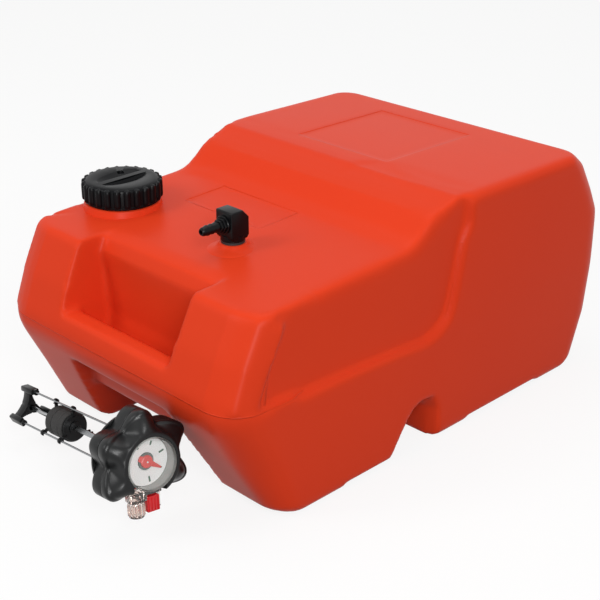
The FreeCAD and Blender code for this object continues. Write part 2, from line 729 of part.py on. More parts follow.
save(gauge_place(float_clips()), "float_clips")
save(gauge_place(float_guide()), "float_guide")
save(gauge_place(twisted_strip()), "twisted_strip")
save(gauge_place(drive_magnet()), "drive_magnet")
save(gauge_place(vent_housing()), "vent_housing")
save(gauge_place(vent_screw()), "vent_screw")
save(gauge_place(vent_insert()), "vent_insert")
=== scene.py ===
# Outboard fuel tank with a screw filler cap, a hose outlet and a loose float-gauge cap.
# Lengths are metres in the shared frame, with +Z up and the rear towards +Y. Most forms are drawn in
# millimetres, as their comments say, and brought to metres where they are placed.
import json
import math

import bmesh
import bpy
from mathutils import Matrix, Vector


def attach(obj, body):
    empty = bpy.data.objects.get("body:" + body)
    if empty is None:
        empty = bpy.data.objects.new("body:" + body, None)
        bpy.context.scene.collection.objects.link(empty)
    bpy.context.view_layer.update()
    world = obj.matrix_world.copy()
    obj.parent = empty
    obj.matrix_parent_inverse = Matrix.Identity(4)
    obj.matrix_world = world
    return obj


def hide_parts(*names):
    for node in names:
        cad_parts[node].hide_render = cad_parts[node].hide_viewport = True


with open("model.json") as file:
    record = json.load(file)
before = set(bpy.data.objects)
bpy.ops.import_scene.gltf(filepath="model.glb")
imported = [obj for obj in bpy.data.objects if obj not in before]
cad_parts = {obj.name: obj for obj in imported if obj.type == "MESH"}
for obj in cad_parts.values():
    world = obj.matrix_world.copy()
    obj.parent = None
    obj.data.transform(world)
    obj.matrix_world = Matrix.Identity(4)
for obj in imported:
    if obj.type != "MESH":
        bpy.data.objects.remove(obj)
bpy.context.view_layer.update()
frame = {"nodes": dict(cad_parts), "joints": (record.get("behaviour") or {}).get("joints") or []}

NODES = frame["nodes"]
MM = 0.001
WHITE = (1.0, 1.0, 1.0, 1.0)


# ------------------------------------------------------------------ colour and node helpers
def linear(hexa):
    """An sRGB hex colour as linear RGBA."""
    out = []
    for i in (0, 2, 4):
        c = int(hexa.lstrip("#")[i:i + 2], 16) / 255.0
        out.append(c / 12.92 if c <= 0.04045 else ((c + 0.055) / 1.055) ** 2.4)
    return (*out, 1.0)


def put(tree, kind, inputs=(), **settings):
    """Adds a node. Its inputs, by name or in order, are values, nodes or outputs; the rest are settings."""
    node = tree.nodes.new(kind)
    for name, value in settings.items():
        setattr(node, name, value)
    for place, value in inputs.items() if isinstance(inputs, dict) else enumerate(inputs):
        if isinstance(value, bpy.types.Node):
            value = value.outputs[0]
        if isinstance(value, bpy.types.NodeSocket):
            tree.links.new(value, node.inputs[place])
        else:
            node.inputs[place].default_value = value
    return node


def blank_material(name):
    """A new material without nodes, and its tree."""
    m = bpy.data.materials.new(name)
    m.use_nodes = True
    m.node_tree.nodes.clear()
    return m, m.node_tree


# ------------------------------------------------------------------ camera, light, floor
# place in metres, tilt below the level and turn from +Y in degrees, lens in mm
CAMERA_AT = (0.87134, -0.88645, 0.66652)
CAMERA_DOWN = 24.806
CAMERA_TURN = 45.342
CAMERA_LENS = 79.37
# the paper lies just under the tank's feet
FLOOR_HALF = 14.0
FLOOR_DROP = 0.0004


def make_camera():
    """Long lens, ahead of the tank, to its right and above it."""
    cam = bpy.data.cameras.new("camera")
    cam.sensor_width = 36.0
    cam.lens = CAMERA_LENS
    cam.clip_start = 0.05
    cam.clip_end = 30.0
    ob = bpy.data.objects.new("camera", cam)
    ob.location = CAMERA_AT
    ob.rotation_euler = (math.radians(90.0 - CAMERA_DOWN), 0.0, math.radians(CAMERA_TURN))
    bpy.context.scene.collection.objects.link(ob)
    bpy.context.scene.camera = ob


def soft_box(name, at, aim, size, power):
    """A rectangular lamp that faces the point it is aimed at."""
    light = bpy.data.lights.new(name, "AREA")
    light.shape = "RECTANGLE"
    light.size, light.size_y = size
    light.energy = power
    ob = bpy.data.objects.new(name, light)
    ob.location = at
    ob.rotation_euler = (Vector(aim) - Vector(at)).to_track_quat("-Z", "Y").to_euler()
    bpy.context.scene.collection.objects.link(ob)
    return ob


def seen_directly(t):
    """1 for rays that should meet the white background: from the camera, a gloss or a clear part."""
    ray = put(t, "ShaderNodeLightPath").outputs
    first = put(t, "ShaderNodeMath", (ray["Is Camera Ray"], ray["Is Transmission Ray"]),
                operation="MAXIMUM")
    return put(t, "ShaderNodeMath", (first, ray["Is Glossy Ray"]), operation="MAXIMUM")


def make_studio():
    """Three broad lamps, a narrow strip that only draws the gloss on corners, and an even white world."""
    soft_box("overhead", (-0.3, 0.2, 2.2), (0, 0, 0), (1.3, 1.3), 10.5)
    soft_box("front_right", (1.9, -1.2, 1.5), (0, -0.1, 0.1), (0.8, 1.1), 34.0)
    soft_box("front_left", (-0.9, -2.0, 1.6), (0, -0.1, 0.1), (0.7, 1.1), 17.5)
    strip = soft_box("front_strip", (1.35, -1.55, 0.6), (0, -0.1, 0.16), (0.16, 0.8), 24.0)
    strip.visible_diffuse = False
    world = bpy.data.worlds.new("studio")
    bpy.context.scene.world = world
    world.use_nodes = True
    t = world.node_tree
    t.nodes.clear()
    seen = seen_directly(t)
    plain = put(t, "ShaderNodeBackground", {"Color": WHITE, "Strength": 0.41})
    white = put(t, "ShaderNodeBackground", {"Color": WHITE, "Strength": 1.0})
    both = put(t, "ShaderNodeMixShader", (seen, plain, white))
    put(t, "ShaderNodeOutputWorld", {"Surface": both})
    bpy.context.scene.view_settings.view_transform = "Standard"


def make_floor():
    """White paper that keeps the object's shadow and sends little light back up."""
    m, t = blank_material("studio paper")
    seen = seen_directly(t)
    paper = put(t, "ShaderNodeBsdfDiffuse", {"Color": linear("#F4F4F3")})
    glow = put(t, "ShaderNodeEmission", {"Color": WHITE, "Strength": 1.0})
    lit = put(t, "ShaderNodeMixShader", (0.86, paper, glow))
    bounce = put(t, "ShaderNodeBsdfDiffuse", {"Color": linear("#8A8A89")})
    both = put(t, "ShaderNodeMixShader", (seen, bounce, lit))
    put(t, "ShaderNodeOutputMaterial", {"Surface": both})
    me = bpy.data.meshes.new("floor")
    s = FLOOR_HALF
    me.from_pydata([(-s, -s, 0), (s, -s, 0), (s, s, 0), (-s, s, 0)], [], [(0, 1, 2, 3)])
    me.materials.append(m)
    ob = bpy.data.objects.new("floor", me)
    ob.location.z = -FLOOR_DROP
    bpy.context.scene.collection.objects.link(ob)


# ------------------------------------------------------------------ materials
def moulded_plastic(name, colour, rough, grain_mm, grain, specular=0.5):
    """Injection-moulded plastic: even colour, a fine spark-eroded grain that breaks the sheen."""
    m, t = blank_material(name)
    at = put(t, "ShaderNodeTexCoord").outputs["Object"]
    pits = put(t, "ShaderNodeTexNoise", {"Vector": at, "Scale": 1.0 / (grain_mm * MM), "Detail": 2.0})
    relief = put(t, "ShaderNodeBump", {"Height": pits, "Strength": grain, "Distance": 0.2 * MM})
    face = put(t, "ShaderNodeBsdfPrincipled", {"Base Color": linear(colour), "Roughness": rough,
               "Specular IOR Level": specular, "Normal": relief})
    put(t, "ShaderNodeOutputMaterial", {"Surface": face})
    return m


def bright_steel(name, colour, rough, line_mm):
    """Drawn or rolled steel: a mirror-like metal, its brightness broken up by faint drawing marks."""
    m, t = blank_material(name)
    at = put(t, "ShaderNodeTexCoord").outputs["Object"]
    marks = put(t, "ShaderNodeTexNoise", {"Vector": at, "Scale": 1.0 / (line_mm * MM), "Detail": 3.0})
    sheen = put(t, "ShaderNodeMapRange", {"Value": marks, "To Min": rough * 0.7, "To Max": rough * 1.4})
    face = put(t, "ShaderNodeBsdfPrincipled", {"Base Color": linear(colour), "Metallic": 1.0,
               "Roughness": sheen})
    put(t, "ShaderNodeOutputMaterial", {"Surface": face})
    return m


def clear_plastic(name, colour, rough, through):
    """Clear moulded polycarbonate: it shows what is behind it and takes a sharp gloss."""
    m, t = blank_material(name)
    at = put(t, "ShaderNodeTexCoord").outputs["Object"]
    ripples = put(t, "ShaderNodeTexNoise", {"Vector": at, "Scale": 1.0 / (6.25 * MM), "Detail": 2.0})
    relief = put(t, "ShaderNodeBump", {"Height": ripples, "Strength": 0.05, "Distance": 0.2 * MM})
    gloss = put(t, "ShaderNodeBsdfPrincipled", {"Base Color": linear(colour), "Roughness": rough,
                "IOR": 1.58, "Normal": relief})
    clear = put(t, "ShaderNodeBsdfTransparent", {"Color": WHITE})
    both = put(t, "ShaderNodeMixShader", (through, gloss, clear))
    put(t, "ShaderNodeOutputMaterial", {"Surface": both})
    return m


def refracting_plastic(name, colour, rough):
    """Thick clear acrylic moulding, whose edges and flutes bend what is behind them."""
    m, t = blank_material(name)
    at = put(t, "ShaderNodeTexCoord").outputs["Object"]
    ripples = put(t, "ShaderNodeTexNoise", {"Vector": at, "Scale": 1.0 / (4.545 * MM), "Detail": 2.0})
    relief = put(t, "ShaderNodeBump", {"Height": ripples, "Strength": 0.06, "Distance": 0.2 * MM})
    face = put(t, "ShaderNodeBsdfPrincipled", {"Base Color": linear(colour), "Roughness": rough,
               "IOR": 1.49, "Transmission Weight": 1.0, "Normal": relief})
    put(t, "ShaderNodeOutputMaterial", {"Surface": face})
    return m


def foam(name, colour):
    """Closed-cell rubber foam: dull, with cells of about 0.7 mm."""
    m, t = blank_material(name)
    at = put(t, "ShaderNodeTexCoord").outputs["Object"]
    cells = put(t, "ShaderNodeTexVoronoi", {"Vector": at, "Scale": 1.0 / (0.7 * MM)})
    relief = put(t, "ShaderNodeBump", {"Height": cells, "Strength": 0.6, "Distance": 0.3 * MM})
    face = put(t, "ShaderNodeBsdfPrincipled", {"Base Color": linear(colour), "Roughness": 0.75,
               "Normal": relief})
    put(t, "ShaderNodeOutputMaterial", {"Surface": face})
    return m


# marks of the mould in mm: height of the parting line, and middle, half size and depth of the plain fields
PARTING_Z = 119.6
DECK_FIELD = ((-31.5, -75.5), (53.5, 25.5), 1.5)
TOP_FIELD = ((-14.5, 113.2), (62.0, 64.7), 1.9)
# the fields lie above this height; the parting line shows ahead of one depth, and of another on the flanks
FIELDS_ABOVE = 150.0
SEAM_Y = -248.0
FLANK_X = 145.0
FLANK_SEAM_BACK = 65.0


def sunk_panel(t, x, y, middle, half, depth, edge=0.7):
    """Height of a plain rectangle sunk into the top, deepest at its rear left corner; sizes in mm."""
    over = []
    share = []
    for at, m, h in ((x, middle[0], half[0]), (y, middle[1], half[1])):
        off = put(t, "ShaderNodeMath", (at, m * MM), operation="SUBTRACT")
        far = put(t, "ShaderNodeMath", (off,), operation="ABSOLUTE")
        over.append(put(t, "ShaderNodeMath", (far, h * MM), operation="SUBTRACT"))
        share.append(put(t, "ShaderNodeMath", (off, h * MM), operation="DIVIDE"))
    slope = put(t, "ShaderNodeMath", (share[1], share[0]), operation="SUBTRACT")
    deep = put(t, "ShaderNodeMath", (slope, 0.22, 0.55), operation="MULTIPLY_ADD", use_clamp=True)
    beyond = put(t, "ShaderNodeMath", over, operation="MAXIMUM")
    lip = put(t, "ShaderNodeMapRange", {"Value": beyond, "From Min": -edge * MM, "From Max": edge * MM,
              "To Min": -depth * MM, "To Max": 0.0}, interpolation_type="SMOOTHSTEP")
    return put(t, "ShaderNodeMath", (lip, deep), operation="MULTIPLY")


def parting_line(t, z, height, width=0.9, stand=0.5):
    """Height of the thin ridge where the two halves of the mould meet; sizes in mm."""
    above = put(t, "ShaderNodeMath", (z, height * MM), operation="SUBTRACT")
    off = put(t, "ShaderNodeMath", (above,), operation="ABSOLUTE")
    return put(t, "ShaderNodeMapRange", {"Value": off, "From Min": 0.0, "From Max": width * MM,
               "To Min": stand * MM, "To Max": 0.0}, interpolation_type="SMOOTHSTEP")


def mould_marks(t, at):
    """Height of the two sunk fields and of the parting line."""
    x, y, z = put(t, "ShaderNodeSeparateXYZ", (at,)).outputs
    fields = put(t, "ShaderNodeMath", (sunk_panel(t, x, y, *DECK_FIELD), sunk_panel(t, x, y, *TOP_FIELD)),
                 operation="ADD")
    high = put(t, "ShaderNodeMath", (z, FIELDS_ABOVE * MM), operation="GREATER_THAN")
    sunk = put(t, "ShaderNodeMath", (fields, high), operation="MULTIPLY")
    out = put(t, "ShaderNodeMath", (x,), operation="ABSOLUTE")
    flank = put(t, "ShaderNodeMath", (out, FLANK_X * MM), operation="GREATER_THAN")
    depth = put(t, "ShaderNodeMath", (flank, -FLANK_SEAM_BACK * MM, y), operation="MULTIPLY_ADD")
    ahead = put(t, "ShaderNodeMath", (depth, SEAM_Y * MM), operation="LESS_THAN")
    ridge = put(t, "ShaderNodeMath", (parting_line(t, z, PARTING_Z), ahead), operation="MULTIPLY")
    return put(t, "ShaderNodeMath", (sunk, ridge), operation="ADD")


def blown_polyethylene():
    """Blow-moulded HDPE: a waxy orange-red skin with a soft low gloss and the mould's fine matt grain."""
    m, t = blank_material("blow-moulded polyethylene")
    at = put(t, "ShaderNodeTexCoord").outputs["Object"]
    relief = put(t, "ShaderNodeBump", {"Height": mould_marks(t, at), "Strength": 1.0, "Distance": 1.0})
    # the slow waves of a cooling wall, then the mould's grain: width in mm, strength and height in mm
    for width, strength, height in ((111.1, 0.10, 3.0), (0.9, 0.14, 0.2)):
        swell = put(t, "ShaderNodeTexNoise", {"Vector": at, "Scale": 1.0 / (width * MM), "Detail": 2.0})
        relief = put(t, "ShaderNodeBump", {"Height": swell, "Strength": strength, "Distance": height * MM,
                     "Normal": relief})
    cloud = put(t, "ShaderNodeTexNoise", {"Vector": at, "Scale": 1.0 / (200.0 * MM), "Detail": 4.0})
    tone = put(t, "ShaderNodeMixRGB", (cloud, linear("#D93A1C"), linear("#DF4120")))
    sheen = put(t, "ShaderNodeMapRange", {"Value": cloud, "To Min": 0.33, "To Max": 0.40})
    face = put(t, "ShaderNodeBsdfPrincipled", {"Base Color": tone, "Roughness": sheen, "IOR": 1.5,
               "Specular IOR Level": 0.06, "Normal": relief})
    put(t, "ShaderNodeOutputMaterial", {"Surface": face})
    return m


# ------------------------------------------------------------------ mesh helpers
def dress(node, material):
    """Gives a CAD node its real material."""
    slots = NODES[node].data.materials
    slots.clear()
    slots.append(material)


def new_piece(name, bm, material, body, replaced=(), smooth=35.0, all_smooth=False):
    """A finished object in metres on its body; edges sharper than smooth stay sharp, in degrees."""
    me = bpy.data.meshes.new(name)
    bm.to_mesh(me)
    bm.free()
    me.materials.append(material)
    ob = bpy.data.objects.new(name, me)
    bpy.context.scene.collection.objects.link(ob)
    if smooth or all_smooth:
        for p in me.polygons:
            p.use_smooth = True
    if smooth:
        me.set_sharp_from_angle(angle=math.radians(smooth))
    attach(ob, body)
    if replaced:
        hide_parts(*replaced)
    return ob


# ------------------------------------------------------------------ forms
def rounded(points, radius, steps=5):
    """A closed outline with each corner turned into an arc of about the radius."""
    out = []
    n = len(points)
    for i in range(n):
        a, p, b = (Vector(points[k % n]) for k in (i - 1, i, i + 1))
        back = (a - p).normalized()
        on = (b - p).normalized()
        half = back.angle(on) / 2.0
        reach = min(radius / math.tan(half), (a - p).length * 0.45, (b - p).length * 0.45)
        for k in range(steps + 1):
            t = k / steps
            start = p + back * reach
            end = p + on * reach
            out.append((start * (1 - t) ** 2 + p * 2 * t * (1 - t) + end * t ** 2)[:])
    return out


def swept(sections, round_again=False):
    """Closed form through rings of points: joined end to end if it goes round again, else capped."""
    bm = bmesh.new()
    rows = [[bm.verts.new(p) for p in section] for section in sections]
    pairs = list(zip(rows, rows[1:]))
    if round_again:
        pairs.append((rows[-1], rows[0]))
    for a, b in pairs:
        if len(a) == len(b) == 1:
            continue
        n = max(len(a), len(b))
        for i in range(n):
            j = (i + 1) % n
            if len(a) == 1:
                bm.faces.new((a[0], b[i], b[j]))
            elif len(b) == 1:
                bm.faces.new((a[i], a[j], b[0]))
            else:
                bm.faces.new((a[i], a[j], b[j], b[i]))
    if not round_again:
        bm.faces.new(rows[0])
        bm.faces.new(rows[-1])
    bmesh.ops.recalc_face_normals(bm, faces=bm.faces)
    return bm


def lathe(profile, segments=96):
    """Closed turned form from (radius, height) points in mm; radius 0 is a pole."""
    turn = [2 * math.pi * i / segments for i in range(segments)]
    rings = [[(r * math.cos(a), r * math.sin(a), z) for a in (turn if r > 1e-6 else turn[:1])]
             for r, z in profile]
    return swept(rings, round_again=True)


def prism(outline, low, high):
    """Straight form over an (x, y) outline in mm."""
    return swept([[(p[0], p[1], z) for p in outline] for z in (low, high)])


def bevelled(bm, width, steps=3, angle=30.0):
    """The form with every edge sharper than the angle rounded off by a width in mm."""
    sharp = [e for e in bm.edges if len(e.link_faces) == 2 and e.calc_face_angle(0) > math.radians(angle)]
    bmesh.ops.bevel(bm, geom=sharp, offset=width, offset_type="OFFSET", segments=steps, profile=0.5,
                    affect="EDGES", clamp_overlap=True)
    return bm


def placed(bm, matrix):
    """The form moved, turned or scaled by a matrix."""
    bmesh.ops.transform(bm, matrix=matrix, verts=bm.verts)
    return bm


def turned(bm, degrees):
    """The form turned about its upright axis."""
    return placed(bm, Matrix.Rotation(math.radians(degrees), 4, "Z"))


def joined(*parts):
    """All the parts as one mesh, not fused."""
    whole = bmesh.new()
    for part in parts:
        me = bpy.data.meshes.new("work")
        part.to_mesh(me)
        part.free()
        whole.from_mesh(me)
        bpy.data.meshes.remove(me)
    return whole


def evaluated(ob):
    """The object's mesh with its modifiers applied, as a bmesh; the object is removed."""
    bpy.context.view_layer.update()
    deps = bpy.context.evaluated_depsgraph_get()
    me = bpy.data.meshes.new_from_object(ob.evaluated_get(deps))
    bpy.data.objects.remove(ob)
    bm = bmesh.new()
    bm.from_mesh(me)
    bpy.data.meshes.remove(me)
    return bm


def work_object(bm=None):
    """An object of the mesh, or of nothing, to run modifiers on."""
    me = bpy.data.meshes.new("work")
    if bm:
        bm.to_mesh(me)
        bm.free()
    ob = bpy.data.objects.new("work", me)
    bpy.context.scene.collection.objects.link(ob)
    return ob


def less(bm, *cutters):
    """The form with each cutter taken out of it."""
    for cutter in cutters:
        ob = work_object(bm)
        tool = work_object(cutter)
        cut = ob.modifiers.new("cut", "BOOLEAN")
        cut.operation = "DIFFERENCE"
        cut.solver = "EXACT"
        cut.object = tool
        bm = evaluated(ob)
        bpy.data.objects.remove(tool)
    return bm


def at_mm(x, y, z):
    """Matrix that takes millimetres about a point of the frame to metres."""
    return Matrix.Translation((x * MM, y * MM, z * MM)) @ Matrix.Scale(MM, 4)


# ------------------------------------------------------------------ repeats by geometry nodes
def node_group(name, sizes):
    """A geometry tree with a named input for each size; returns it with its input and output nodes."""
    tree = bpy.data.node_groups.new(name, "GeometryNodeTree")
    tree.interface.new_socket("Geometry", in_out="OUTPUT", socket_type="NodeSocketGeometry")
    for label, value in sizes.items():
        kind = "NodeSocketInt" if isinstance(value, int) else "NodeSocketFloat"
        tree.interface.new_socket(label, in_out="INPUT", socket_type=kind)
    return tree, tree.nodes.new("NodeGroupInput"), tree.nodes.new("NodeGroupOutput")


def grown(tree, sizes, material):
    """Runs a tree on an empty object with the sizes given and returns the plain mesh as a bmesh."""
    ob = work_object()
    ob.data.materials.append(material)
    mod = ob.modifiers.new("grow", "NODES")
    mod.node_group = tree
    for item in tree.interface.items_tree:
        if item.in_out == "INPUT" and item.name in sizes:
            mod[item.identifier] = sizes[item.name]
    return evaluated(ob)


def ring_of_bars(name, sizes, material):
    """Upright round bars with blunt ends, set round a circle like the ribs of a cap; sizes in mm."""
    tree, given, out = node_group(name, sizes)
    g = given.outputs
    ring = put(tree, "GeometryNodeMeshCircle", {"Vertices": g["Count"], "Radius": g["Circle"]})
    foot = put(tree, "ShaderNodeCombineXYZ", {"Z": g["Low"]})
    head = put(tree, "ShaderNodeCombineXYZ", {"Z": g["High"]})
    line = put(tree, "GeometryNodeCurvePrimitiveLine", {"Start": foot, "End": head})
    even = put(tree, "GeometryNodeResampleCurve", {"Curve": line, "Count": 15})
    share = put(tree, "GeometryNodeSplineParameter").outputs["Factor"]
    centred = put(tree, "ShaderNodeMath", (share, 2.0, -1.0), operation="MULTIPLY_ADD")
    off = put(tree, "ShaderNodeMath", (centred,), operation="ABSOLUTE")
    steep = put(tree, "ShaderNodeMath", (off, g["Blunt"]), operation="POWER")
    # a little over 1, so that the ends keep some width
    left = put(tree, "ShaderNodeMath", (1.001, steep), operation="SUBTRACT")
    taper = put(tree, "ShaderNodeMath", (left,), operation="SQRT")
    section = put(tree, "GeometryNodeCurvePrimitiveCircle", {"Radius": g["Bar"], "Resolution": 16})
    bar = put(tree, "GeometryNodeCurveToMesh", {"Curve": even, "Profile Curve": section, "Scale": taper,
              "Fill Caps": True})
    many = put(tree, "GeometryNodeInstanceOnPoints", {"Points": ring, "Instance": bar})
    real = put(tree, "GeometryNodeRealizeInstances", {"Geometry": many})
    coat = put(tree, "GeometryNodeSetMaterial", {"Geometry": real, "Material": material})
    tree.links.new(coat.outputs[0], out.inputs[0])
    return grown(tree, sizes, material)


# ------------------------------------------------------------------ tank
# axes of the neck and the outlet, and how far round them a skin is opened above a height; in metres
NECK = Vector((-0.1235, -0.1489, 0.0))
PORT = Vector((0.0356, -0.1463, 0.0))
BORES = ((NECK, 0.0264), (PORT, 0.0088))
BORES_ABOVE = 0.18
BOSSES = ((NECK, 0.0400), (PORT, 0.0172))
BOSSES_ABOVE = 0.196
SHELL_HOLES = ((NECK, 0.0300), (PORT, 0.0120))
SHELL_HOLES_ABOVE = 0.19
LINING_HOLE = ((NECK, 0.0262),)
# fewer joined faces than this are a scrap, not a skin
FEWEST_FACES = 50
# edge of the cubes that a skin is evened out with
VOXEL = 0.003
TO_MM = 1000.0


def merged_copy(node):
    """A CAD node's mesh with its doubled vertices joined."""
    bm = bmesh.new()
    bm.from_mesh(NODES[node].data)
    bmesh.ops.remove_doubles(bm, verts=bm.verts, dist=2e-6)
    return bm


def islands(bm):
    """Groups of joined faces, the largest first."""
    seen = set()
    groups = []
    for f in bm.faces:
        if f in seen:
            continue
        stack = [f]
        seen.add(f)
        group = []
        while stack:
            g = stack.pop()
            group.append(g)
            for e in g.edges:
                for h in e.link_faces:
                    if h not in seen:
                        seen.add(h)
                        stack.append(h)
        groups.append(group)
    return sorted(groups, key=len, reverse=True)


def span(group):
    """Width of a group of faces from left to right."""
    xs = [v.co.x for f in group for v in f.verts]
    return max(xs) - min(xs)


def open_rounds(bm, rounds, above):
    """Takes away the faces above a height that lie within one of the (axis, radius) rounds."""
    gone = []
    for f in bm.faces:
        c = f.calc_center_median()
        if c.z > above and any(math.hypot(c.x - axis.x, c.y - axis.y) < r for axis, r in rounds):
            gone.append(f)
    bmesh.ops.delete(bm, geom=gone, context="FACES")


def skin(outside):
    """The tank's outer or inner skin as one closed mesh, with the neck and the outlet's boss taken off."""
    bm = merged_copy("tank_body")
    open_rounds(bm, BORES, BORES_ABOVE)
    groups = [g for g in islands(bm) if len(g) > FEWEST_FACES]
    groups.sort(key=span, reverse=True)
    keep = set(groups[0] if outside else groups[1])
    bmesh.ops.delete(bm, geom=[f for f in bm.faces if f not in keep], context="FACES")
    if outside:
        open_rounds(bm, BOSSES, BOSSES_ABOVE)
    bmesh.ops.holes_fill(bm, edges=[e for e in bm.edges if e.is_boundary], sides=0)
    bmesh.ops.triangulate(bm, faces=[f for f in bm.faces if len(f.verts) > 4])
    return bm


# the front corners' round in mm, and the heights from and to which it fades in and out
CORNER_R = 38.0
CORNER_MIDDLE = 131.1
CORNER_FADES = ((119.0, 123.0), (196.0, 208.0))
# flats that meet in the corners' creases: mm from the middle of the round, and degrees from the side
CORNER_FLATS = ((CORNER_R, 0.0), (36.9, 23.2), (37.3, 69.3), (CORNER_R, 90.0))
CREASE_SOFT = 1.5
# where the sides are filled out: beyond a distance to either side, between two depths and two heights
FILL_SIDE = 150.0
FILL_Y = (-246.0, -185.0)
FILL_Z = (108.0, 203.0)
FILL_FOOT_FADE = (108.0, 112.0)
FILL_TOP_FADE = (186.0, 197.0)
FILL_REAR_FADE = (-200.0, -185.0)
# y of the front at each height, and lift of the step's brow at each depth
FRONT_LEAN = ((117.0, -268.2), (129.5, -265.8), (136.5, -263.0), (159.6, -254.4), (170.0, -249.5),
              (194.8, -237.2), (225.0, -220.2))
STEP_CREASE = ((-12.0, 0.0), (3.0, -2.0), (14.0, -0.4), (22.0, 1.25), (30.0, 0.6), (44.0, 0.1), (58.0, 0.0))
STEP_FADE = (215.0, 228.0)
# the side panels: distance of their floor from the middle, width of their rim and (y, z) outline
PANEL_FLAT = 161.5
PANEL_RIM = 5.0
PANEL_OUTLINE = [(-241.0, 119.5), (-192.0, 118.5), (-124.0, 115.0), (-66.0, 112.0), (-24.0, 109.0),
                 (-6.0, 114.0), (8.0, 124.0), (14.0, 138.0), (20.0, 165.0), (25.0, 190.0), (30.0, 216.0),
                 (31.0, 260.0), (-196.0, 260.0), (-204.0, 199.0), (-227.0, 152.7)]
# patches in metres: beyond a distance to either side, between two depths and between two heights
FILL_SHEET = (0.164, (-0.232, -0.195), (0.112, 0.200))
SHEET_TURNS = 8
# and those that are softened last, and how often: panel rims, shoulders, their middle, lower front corners
SOFTENED = ((0.157, (-0.245, 0.040), (0.104, 1.0), 2), (0.132, (-0.180, 0.012), (0.182, 1.0), 4),
            (0.138, (-0.165, 0.002), (0.188, 1.0), 9), (0.157, (-0.245, -0.222), (0.104, 0.162), 4))


def remeshed(bm, voxel, factor, turns):
    """Evens out a closed skin and rounds its corners as a blown wall has them."""
    ob = work_object(bm)
    even = ob.modifiers.new("even", "REMESH")
    even.mode = "VOXEL"
    even.voxel_size = voxel
    soften = ob.modifiers.new("round", "SMOOTH")
    soften.factor = factor
    soften.iterations = turns
    return evaluated(ob)


def along(table, at):
    """The value of a table of (place, value) pairs at a place between them."""
    for (a, u), (b, v) in zip(table, table[1:]):
        if at <= b:
            return u + (v - u) * max(at - a, 0.0) / (b - a)
    return table[-1][1]


def eased(a, b, at):
    """0 up to a, 1 from b on, and a soft curve between them."""
    t = min(max((at - a) / (b - a), 0.0), 1.0)
    return t * t * (3.0 - 2.0 * t)


def corner_reach(turn):
    """How far a front corner stands out from the middle of its round: two flats that meet in a crease."""
    near = [d / max(math.cos(math.radians(turn - a)), 0.2) for d, a in CORNER_FLATS]
    return -CREASE_SOFT * math.log(sum(math.exp(-r / CREASE_SOFT) for r in near))


def depth_inside(outline, p):
    """Distance from a point to the nearest edge of an outline it lies in, or 0 outside."""
    inside = False
    near = 1e9
    for a, b in zip(outline, outline[1:] + outline[:1]):
        if (a[1] > p[1]) != (b[1] > p[1]) and p[0] < a[0] + (b[0] - a[0]) * (p[1] - a[1]) / (b[1] - a[1]):
            inside = not inside
        run = Vector(b) - Vector(a)
        t = min(max((Vector(p) - Vector(a)).dot(run) / run.length_squared, 0.0), 1.0)
        near = min(near, (Vector(a) + run * t - Vector(p)).length)
    return near if inside else 0.0


def smoothed(bm, verts, turns, across=True):
    """Smooths some of the skin; with across off it only evens out the mesh within a side face."""
    for _ in range(turns):
        bmesh.ops.smooth_vert(bm, verts=verts, factor=0.5, use_axis_x=across, use_axis_y=True,
                              use_axis_z=True)


def patch(bm, beyond, y_range, z_range):
    """The vertices beyond a distance to either side, between two depths and two heights, in metres."""
    return [v for v in bm.verts if abs(v.co.x) > beyond
            and y_range[0] < v.co.y < y_range[1] and z_range[0] < v.co.z < z_range[1]]


def filled_out(bm):
    """Brings each side out to the full round of the front corner, where no panel is pressed in."""
    for v in bm.verts:
        x, y, z = v.co * TO_MM
        if abs(x) > FILL_SIDE and FILL_Y[0] < y < FILL_Y[1] and FILL_Z[0] < z < FILL_Z[1]:
            ahead = max(along(FRONT_LEAN, z) + CORNER_R - y, 0.0)
            bow = math.sqrt(max(CORNER_R ** 2 - ahead ** 2, 0.0))
            full = max(CORNER_MIDDLE + bow - abs(x), 0.0) * (1.0 - eased(*FILL_TOP_FADE, z))
            full *= eased(*FILL_FOOT_FADE, z) * (1.0 - eased(*FILL_REAR_FADE, y))
            v.co.x += math.copysign(full, x) / TO_MM
    smoothed(bm, patch(bm, *FILL_SHEET), SHEET_TURNS, across=False)


def creased(bm):
    """Brings back the creases of the mould: front corners, the step's brow and the side panels."""
    filled_out(bm)
    rise, end = CORNER_FADES
    pressed = []
    for v in bm.verts:
        x, y, z = v.co * TO_MM
        side = math.copysign(1.0, x)
        middle = along(FRONT_LEAN, z) + CORNER_R
        beyond = abs(x) - CORNER_MIDDLE
        if beyond > 0.0 and rise[0] < z < end[1] and y < middle:
            turn = math.degrees(math.atan2(middle - y, beyond))
            grow = (corner_reach(turn) / CORNER_R - 1.0) * eased(*rise, z)
            grow *= 1.0 - eased(*end, z)
            x += side * beyond * grow
            y -= (middle - y) * grow
        if z > STEP_FADE[0] and STEP_CREASE[0][0] < y < STEP_CREASE[-1][0]:
            z += along(STEP_CREASE, y) * eased(*STEP_FADE, z)
        if abs(x) > PANEL_FLAT:
            press = eased(0.0, PANEL_RIM, depth_inside(PANEL_OUTLINE, (y, z)))
            x = side * (abs(x) - (abs(x) - PANEL_FLAT) * press)
            if press > 0.999:
                pressed.append(v)
        v.co = Vector((x, y, z)) / TO_MM
    smoothed(bm, pressed, SHEET_TURNS, across=False)
    for group, turns in [(patch(bm, *box), turns) for *box, turns in SOFTENED]:
        smoothed(bm, group, turns)


def tank_shell(material):
    """The outer skin, open where the neck and the outlet's boss stand on it."""
    bm = remeshed(skin(True), VOXEL, 0.5, 4)
    creased(bm)
    open_rounds(bm, SHELL_HOLES, SHELL_HOLES_ABOVE)
    return new_piece("tank_shell", bm, material, "tank", ["tank_body"], smooth=0,
                     all_smooth=True)


